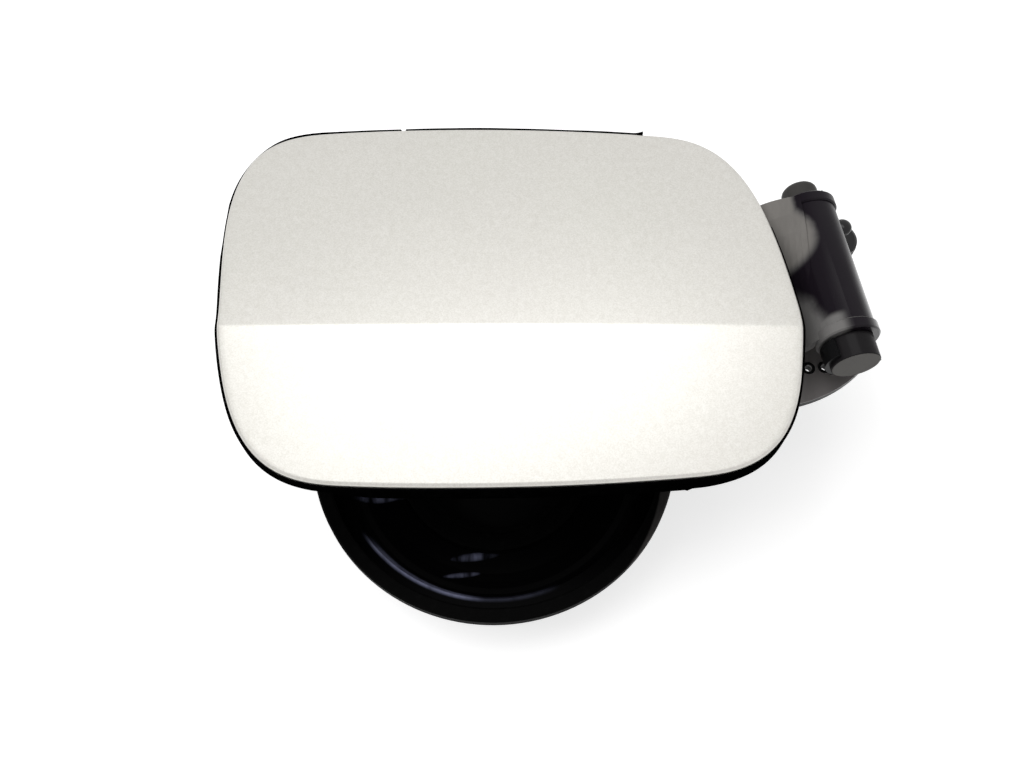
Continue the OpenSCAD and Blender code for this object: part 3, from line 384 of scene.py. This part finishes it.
def torn_lip():
    """Rubber lip with its worn leaf, nicks and curled end, in the place of the plain lip. It runs from the
    upper right corner by the left and the front to LIP_END_Y on the right."""
    edges = [[Vector(point[:2]) for point in edge_loop(lattice(inset, 0))] for inset in (0, -1)]
    heights, around = row_heights(0), len(edges[0])
    start, end = COLUMNS + len(heights) - 1, COLUMNS + sum(y < LIP_END_Y for y in heights) + around
    places = [i % around for i in range(start, end)]
    steps = [(i, k / LIP_STEPS) for i in places[:-1] for k in range(LIP_STEPS)] + [(places[-1], 0)]
    points, travelled, before = [], 0, None
    for i, share in steps:
        near, far = (edge[i].lerp(edge[(i + 1) % around], share) for edge in edges)
        travelled += (near - before).length if before else 0
        before = near
        out, up = leaf_edge(*near, travelled)
        section = lip_section(out, up, hem_sag(*near), nearness(*near, LIP_SPIKE))
        for inset, lift in section:
            place = near.lerp(far, -inset)
            points.append((max(place.x, LIP_LEFT_END), place.y, skin_z(*place) + lift))
    corners = len(section)
    faces = [tuple(range(corners)), tuple(range(len(points) - 1, len(points) - 1 - corners, -1))]
    for ring in range(len(steps) - 1):
        for k in range(corners):
            a, b = ring * corners + k, ring * corners + (k + 1) % corners
            faces.append((b, a, a + corners, b + corners))
    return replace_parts(add_piece("torn_lip", points, faces, "door"), "edge_lip")


# Paint, mouldings, rubber and steel. Grains, places and depths are in millimetres.

FLAKE_GRAIN = 0.34
SILVER_SHADE = (0.574, 0.551, 0.517), (0.566, 0.56, 0.506)
SILVER_LIGHT = (0.689, 0.677, 0.641)


def silver_paint():
    """Fine silver flake under a clear coat."""
    paint = Finish("silver_paint", metallic=0.82, coat_weight=0.3, coat_roughness=0.16)
    glint = paint.cell_shade(FLAKE_GRAIN)
    light = (glint * 0.7 + paint.noise(2.2, detail=3) * 0.6 - 0.15).clamped()
    dark = paint.mix(paint.noise(55, detail=1), *SILVER_SHADE)
    paint.set("Base Color", paint.mix(light, dark, SILVER_LIGHT))
    paint.set("Roughness", 0.30 + paint.noise(40, detail=3) * 0.08)
    paint.bump(glint * 0.5 + paint.noise(0.9) * 0.5, depth=0.012, strength=0.35)
    return paint


def black_moulding(name, gloss, gloss_roughness, colour=(0.004, 0.0035, 0.0045)):
    """Moulded black plastic: a dark body with a gloss over it, both with faint clouds and handling marks.
    Gloss is the share of the surface that shines, from 0 to 1."""
    moulding = Finish(name, specular_ior_level=0.02, coat_ior=1.5, roughness=0.4)
    cloud = moulding.noise(9, detail=4, roughness=0.6)
    smear = moulding.noise(5, detail=3, roughness=0.6, stretch=(1, 0.25, 1))
    shine = gloss(moulding) if callable(gloss) else gloss
    moulding.set("Coat Weight", (0.8 + cloud * 0.4) * shine)
    moulding.set("Coat Roughness", gloss_roughness)
    moulding.set("Base Color", colour(moulding, cloud, smear) if callable(colour) else colour)
    moulding.bump(moulding.noise(0.7, detail=3), depth=0.01, strength=0.5)
    return moulding


# Hinge's own frame: x leads from the door across the pin, y along the pin to its rounded end
HINGE_PLACE, HINGE_TURN = (115.79, 46.27, 68), math.radians(8.4)
BARREL_HALF, HEAD_END = 27.75, 36.65
ARM_X = -21
COLLAR_EDGE_Y, COLLAR_EDGE_HALF = -23.8, 0.35
# Middle and radius of the painted reflection at the arm's rear, as x, y and radius.
REAR_PAINTED_REFLECTION = (-14, 12, 11)
ARM_BODY, RIM_BODY_PAINTED_SHADE = (0.010, 0.0075, 0.011), (0.006, 0.006, 0.0065)
# Greys of the painted reflections at the arm's front and rear.
FRONT_REFLECTION_GREY, REAR_REFLECTION_GREY = (0.2, 0.195, 0.19), (0.2, 0.19, 0.178)
# The pin's grey is painted sheen.
PIN_BODY, PIN_PAINTED_SHEEN = (0.012, 0.011, 0.012), (0.135, 0.13, 0.122)


def arm_gloss(moulding):
    """The barrel shines, most along the side that faces away from the door. The carrier's rim is dull."""
    x, y, _ = moulding.axes(HINGE_PLACE, HINGE_TURN)
    on_arm, on_barrel = x.step(ARM_X, ARM_X + 3), x.step(-4, 1)
    far_side = x.step(3.4, 7.4) * (0.15 + (16 - y).step(0, 34) * 0.85)
    return 0.04 + on_arm * (0.01 + on_barrel * 0.17 + far_side * 0.8)


def arm_colour(moulding, cloud, smear):
    """Painted reflection, in grey, at the arm's rear and front ends, with a dark patch between them, and a
    painted highlight along the collar's edge. The rear painted reflection goes round the patch, and the
    front one ends at a slanting line."""
    x, y, _ = moulding.axes(HINGE_PLACE, HINGE_TURN)
    on_arm = x.step(ARM_X, ARM_X + 2)
    ragged = (cloud - 0.5) * 3
    reflection_x, reflection_y, reflection_r = REAR_PAINTED_REFLECTION
    lobe = ((x - reflection_x + ragged) / reflection_r) ** 2 + ((y - reflection_y + ragged) / reflection_r) ** 2
    rear = (1 - lobe.step(0.6, 1.35)).larger((ragged - x).step(6, 8.5) * y.step(12, 15))
    slanted = -14.4 - y * 0.34 - x + ragged
    front_arm = slanted.step(-1.8, 2.6) * (-y).step(4, 9)
    front_collar = (-y).step(19.5, 22) * (-x).step(1, 5)
    front = front_arm.larger(front_collar)
    # Painted reflection, laid on the arm as grey colour.
    painted_reflection = rear.larger(front * 0.95) * on_arm * (0.8 + smear * 0.35)
    # Painted highlight: a grey line along the collar's edge.
    collar_edge_highlight = (COLLAR_EDGE_HALF - (y - COLLAR_EDGE_Y).size()).step(0, 0.2) * (7 - x).step(0, 3) * 0.6
    # The carrier's rim is painted a darker black than the arm, as painted shade below the door's edge.
    body = moulding.mix(on_arm, RIM_BODY_PAINTED_SHADE, ARM_BODY)
    grey = moulding.mix(rear * on_arm, FRONT_REFLECTION_GREY, REAR_REFLECTION_GREY)
    return moulding.mix(painted_reflection.larger(collar_edge_highlight * on_arm), body, grey)


def pin_colour(moulding, cloud, smear):
    """The pin's end face is painted grey and its rounded end painted lighter, as painted sheen where they
    catch the light.
    """
    _, y, _ = moulding.axes(HINGE_PLACE, HINGE_TURN)
    end_face = y < 0.15 - HEAD_END
    rounded_end = y.step(BARREL_HALF - 1, BARREL_HALF + 2) * 0.35
    return moulding.mix(end_face.larger(rounded_end) * (0.9 + smear * 0.2), PIN_BODY, PIN_PAINTED_SHEEN)


PLATE_TOP = 50
PLATE_PAINTED_SHEEN = (0.26, 0.244, 0.24)
OUTSIDE_BOWL = (68, 70)
# The bowl's inside is a darker black than its outside: painted shade.
BOWL_PAINTED_SHADE, OUTSIDE_BODY = (0.0006, 0.0006, 0.0007), (0.009, 0.009, 0.0095)
LEDGE_R = 56.1
# Pale spots in the bowl, partly painted highlights and partly scuffs, as x, y, half width and half depth.
LEDGE_HIGHLIGHTS_AND_SCUFFS = [(-7, -38.8, 9, 1.7), (-11.6, -45.6, 7, 1.1), (-43, -16.5, 9, 2), (-30, -15.5, 7, 1.2)]
PALE_SPOT_SLOPE = 0.1
# Pale colour of the painted highlight and the scuffs.
HIGHLIGHT_AND_SCUFF_PALE = (0.19, 0.2, 0.3)


def from_middle(x, y):
    """Distance from the bowl's middle line."""
    return (x * x + y * y) ** 0.5


def pot_colour(moulding, cloud, smear):
    """Painted sheen in grey on the hinge plate; on the front left of the bowl's ledge, a pale painted
    highlight and pale spots, partly painted highlights and partly scuffs; and the bowl's inside a darker
    black than its outside, as painted shade. A spot is given as its x, y, half width and half depth."""
    x, y, z = moulding.axes()
    # Painted sheen: the hinge plate's top is painted grey.
    plate = (0.4 - (z - PLATE_TOP).size()).step(0, 0.3) * (0.75 + smear * 0.5)
    radius = from_middle(x, y)
    # Painted highlight: a pale arc along the front of the ledge.
    ledge_painted_highlight = (-(radius - LEDGE_R).size()).step(-1.9, -0.5) * (-y).step(32, 40)
    to_left = (1 - x.step(-12, -2) * 0.85) * (1 - x.step(14, 24))
    # worn holds the painted highlight on the ledge and the pale spots, partly painted highlights and partly
    # scuffs.
    worn = ledge_painted_highlight * (smear * 1.9).clamped() * to_left
    for at_x, at_y, wide, deep in LEDGE_HIGHLIGHTS_AND_SCUFFS:
        spot = ((x - at_x) / wide) ** 2 + ((y - at_y - (x - at_x) * PALE_SPOT_SLOPE) / deep) ** 2
        worn = worn.larger((1 - spot).clamped() * smear.step(0.3, 0.75) * 0.9)
    # Painted shade: the bowl's inside is a darker black than the outside.
    body = moulding.mix(radius.step(*OUTSIDE_BOWL), BOWL_PAINTED_SHADE, OUTSIDE_BODY)
    below_rim = 1 - z.step(30, 31)
    marked = moulding.mix(worn * below_rim, body, HIGHLIGHT_AND_SCUFF_PALE)
    return moulding.mix(plate, marked, PLATE_PAINTED_SHEEN)


def pot_gloss(moulding):
    """The hinge plate's top shines, what stands above it less, and the bowl hardly at all."""
    x, y, z = moulding.axes()
    on_plate = z.step(PLATE_TOP - 0.6, PLATE_TOP - 0.2) * (1 - z.step(PLATE_TOP + 0.2, PLATE_TOP + 2) * 0.85)
    outside = from_middle(x, y).step(*OUTSIDE_BOWL)
    return 0.01 + on_plate * 0.7 + outside * (1 - on_plate) * 0.2


# Radius, tilt to the rear and end towards the back of a painted band of light on the bowl's rim.
RIM_LIGHT_BAND_R, RIM_LIGHT_BAND_TILT, RIM_LIGHT_BAND_END = 60, 0.132, -6
RIM_PAINTED_LIGHT, RUBBER_BLOOM = (0.05, 0.047, 0.046), 0.0015


def rubber(name, colour, shine=0.015):
    """Near-black rubber, with a painted band of light on the outer right part of the bowl's rim."""
    rubber_finish = Finish(name, specular_ior_level=shine)
    cloud = rubber_finish.noise(3, detail=4, roughness=0.65)
    x, y, z = rubber_finish.axes()
    outward = from_middle(x, y) + y * RIM_LIGHT_BAND_TILT
    on_right = x.step(40, 44) * (RIM_LIGHT_BAND_END - y).step(0, 4)
    on_rim = z.step(18, 19) * (1 - z.step(34, 36))
    # Painted light: a grey band on the outer right part of the bowl's rim.
    painted_rim_light = outward.step(RIM_LIGHT_BAND_R - 0.5, RIM_LIGHT_BAND_R + 0.4) * on_right * on_rim * (0.5 + cloud)
    plain = rubber_finish.mix(cloud.step(0.45, 0.8), colour, tuple(c + RUBBER_BLOOM for c in colour))
    rubber_finish.set("Base Color", rubber_finish.mix(painted_rim_light, plain, RIM_PAINTED_LIGHT))
    rubber_finish.set("Roughness", 0.42 + cloud * 0.2)
    rubber_finish.bump(rubber_finish.noise(0.35), depth=0.01, strength=0.4)
    return rubber_finish


def steel(name, colour, along):
    """Sheet steel with drawing marks along one axis, 0 for x and 1 for y."""
    metal = Finish(name, metallic=1.0)
    stretch = [0.06 if axis == along else 1 for axis in range(3)]
    marks = metal.noise(0.5, detail=3, roughness=0.6, stretch=stretch)
    stain = metal.noise(6, detail=4, roughness=0.6)
    metal.set("Base Color", metal.mix(marks * 0.5 + stain * 0.5, colour, tuple(c * 0.7 for c in colour)))
    metal.set("Roughness", 0.28 + stain * 0.25)
    metal.bump(marks, depth=0.01, strength=0.4)
    return metal


FINISHES = {
    "silver_paint": silver_paint(),
    "arm_moulding": black_moulding("arm_moulding", arm_gloss, 0.12, arm_colour),
    "pin_moulding": black_moulding("pin_moulding", 0.12, 0.2, pin_colour),
    "pot_moulding": black_moulding("pot_moulding", pot_gloss, 0.25, pot_colour),
    "rivet_moulding": black_moulding("rivet_moulding", 0.6, 0.1),
    "rubber": rubber("rubber", (0.0015, 0.0015, 0.0015)),
    "lip_rubber": rubber("lip_rubber", (0.0007, 0.0007, 0.0007), shine=0),
    "spring_steel": steel("spring_steel", (0.42, 0.43, 0.44), along=0),
    "clip_steel": steel("clip_steel", (0.5, 0.5, 0.49), along=1),
    "striker_steel": steel("striker_steel", (0.46, 0.46, 0.47), along=1),
}
for part in frame["record"]["subparts"]:
    shade(frame["nodes"][part["node"]], FINISHES[part["material_slot"]])
shade(painted_door(), FINISHES["silver_paint"], angle=60)
shade(torn_lip(), FINISHES["lip_rubber"])


# Floor, light and camera

CAMERA_PLACE = (6.5, -141.5, 364.5)
CAMERA_PITCH = 64
FOCAL_PIXELS, PICTURE_W, SENSOR_W = 1000, 1024, 36
CLIP_START = 10
DOOR_MIDDLE = Vector((6, 35, 80))
POT_FOOT_R = 47
FLOOR_HALF = 3000
# The last colour is painted shade for the floor below the pot.
FLOOR_GLOW, FLOOR_GREY, PAINTED_SHADE_BELOW_POT = 0.68, (0.64, 0.64, 0.64), (0.01, 0.01, 0.01)
BLACK, WHITE = (0, 0, 0), (1, 1, 1)


def shown(finish):
    """1 for rays from the camera, off gloss or through glass, and 0 for the light that lights the object."""
    rays = ("Is Camera Ray", "Is Glossy Ray", "Is Transmission Ray")
    camera_ray, glossy_ray, glass_ray = (finish.node("ShaderNodeLightPath", {}, {}, ray) for ray in rays)
    return camera_ray.larger(glossy_ray).larger(glass_ray)


def white_room(strength):
    """White all round as it is seen, which lights the object at a lower strength."""
    room = Finish("white_room", bpy.data.worlds)
    room.set("Color", WHITE)
    room.set("Strength", strength + shown(room) * (1 - strength))
    bpy.context.scene.world = room.material


def floor():
    """Pale floor that keeps soft shadows, with painted shade below the pot: dark, and no glow, inside its
    foot.
    """
    mesh = bpy.data.meshes.new("floor")
    corners = [(-1, -1, 0), (1, -1, 0), (1, 1, 0), (-1, 1, 0)]
    mesh.from_pydata([Vector(corner) * FLOOR_HALF * MM for corner in corners], [], [(0, 1, 2, 3)])
    plane = add_object("floor", mesh)
    finish = Finish("floor", roughness=1, specular_ior_level=0, emission_strength=FLOOR_GLOW)
    x, y, _ = finish.axes()
    # Painted shade: dark and without glow inside the pot's foot.
    painted_shade_below_pot = x * x + y * y < POT_FOOT_R**2
    finish.set("Base Color", finish.mix(painted_shade_below_pot, FLOOR_GREY, PAINTED_SHADE_BELOW_POT))
    finish.set("Emission Color", finish.mix(shown(finish) * (1 - painted_shade_below_pot), BLACK, WHITE))
    mesh.materials.append(finish.material)


def lamp(name, azimuth, height, distance, width, depth, level, in_gloss=True):
    """Soft lamp that faces the door from azimuth (0 in front, 90 on the right) and height in degrees, with
    its distance, width and depth in metres. A level of 1 is the white of the background."""
    light = bpy.data.lights.new(name, "AREA")
    light.shape = "RECTANGLE"
    light.size, light.size_y = width, depth
    light.energy = level * math.pi * width * depth
    softbox = add_object(name, light)
    a, h = math.radians(azimuth), math.radians(height)
    away = Vector((math.sin(a) * math.cos(h), -math.cos(a) * math.cos(h), math.sin(h)))
    softbox.location = DOOR_MIDDLE * MM + away * distance
    softbox.rotation_euler = away.to_track_quat("Z", "Y").to_euler()
    softbox.visible_glossy = in_gloss


def camera():
    """The photo's own view, pitched down at the door."""
    data = bpy.data.cameras.new("camera")
    data.lens = FOCAL_PIXELS * SENSOR_W / PICTURE_W
    data.sensor_width = SENSOR_W
    data.clip_start = CLIP_START * MM
    seen_from = add_object("camera", data)
    seen_from.location = Vector(CAMERA_PLACE) * MM
    seen_from.rotation_euler = (math.radians(90 - CAMERA_PITCH), 0, 0)
    bpy.context.scene.camera = seen_from


camera()
white_room(0.4)
floor()
lamp("top_softbox", azimuth=190, height=78, distance=1.0, width=0.75, depth=0.58, level=1.85)
lamp("side_softbox", azimuth=262, height=56, distance=1.2, width=0.9, depth=0.9, level=2.6, in_gloss=False)
bpy.context.scene.view_settings.view_transform = "Standard"
